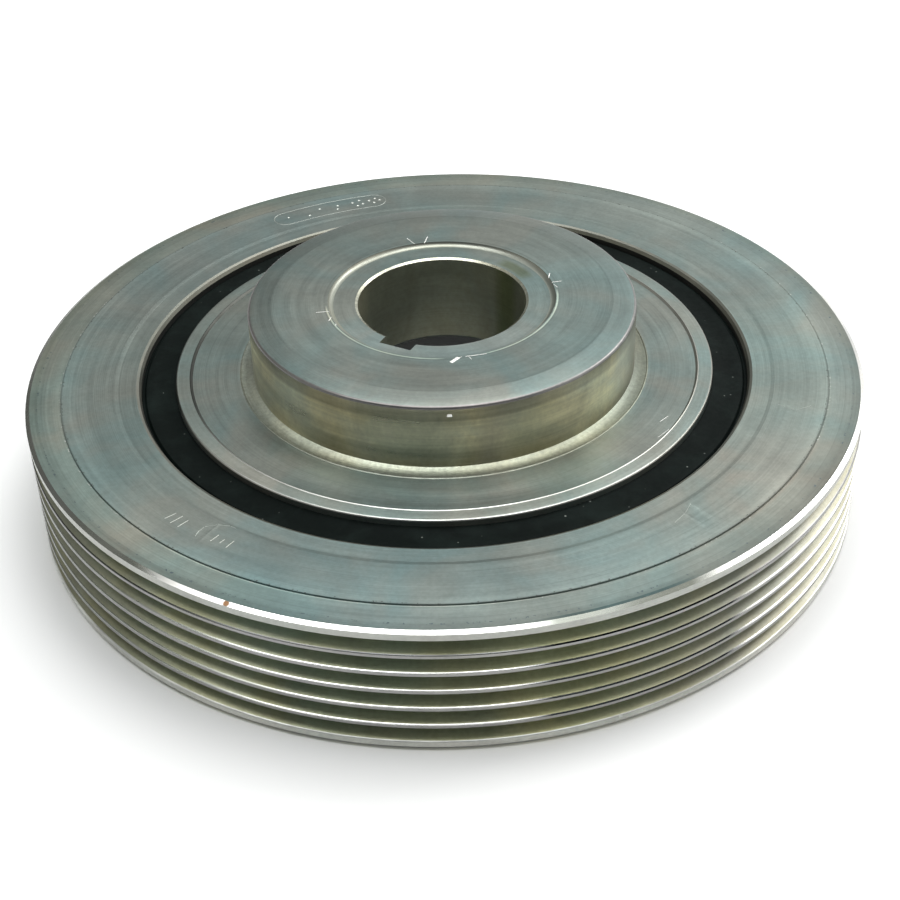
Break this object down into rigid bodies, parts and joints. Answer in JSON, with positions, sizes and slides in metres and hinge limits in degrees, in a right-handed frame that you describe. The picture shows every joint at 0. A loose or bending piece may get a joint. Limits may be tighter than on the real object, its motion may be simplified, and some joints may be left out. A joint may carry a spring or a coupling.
{
  "type": "harmonic balancer",
  "caption": "Round crankshaft damper pulley: a keyed iron hub with a raised boss, a bonded rubber ring, and an outer iron ring with grooves for a multi-rib belt.",
  "frame": {"origin": "on the crankshaft axis, in the plane of the outer ring's rear face, which the part rests on", "axes": "+Z along the crankshaft axis towards the front of the engine, where the boss is; -Y towards the picture's camera"},
  "size_m": [0.15, 0.15, 0.0368],
  "materials": {
    "hub_iron": "turned, with a thin grey-green wash and tool marks",
    "ring_iron": "turned, with a thin grey-green wash; bright flange edges and rib tips",
    "damper_rubber": "matt black, a little dusty"
  },
  "bodies": {
    "root": {"hub": "hub_iron", "rubber_ring": "damper_rubber", "pulley_ring": "ring_iron"}
  },
  "joints": []
}
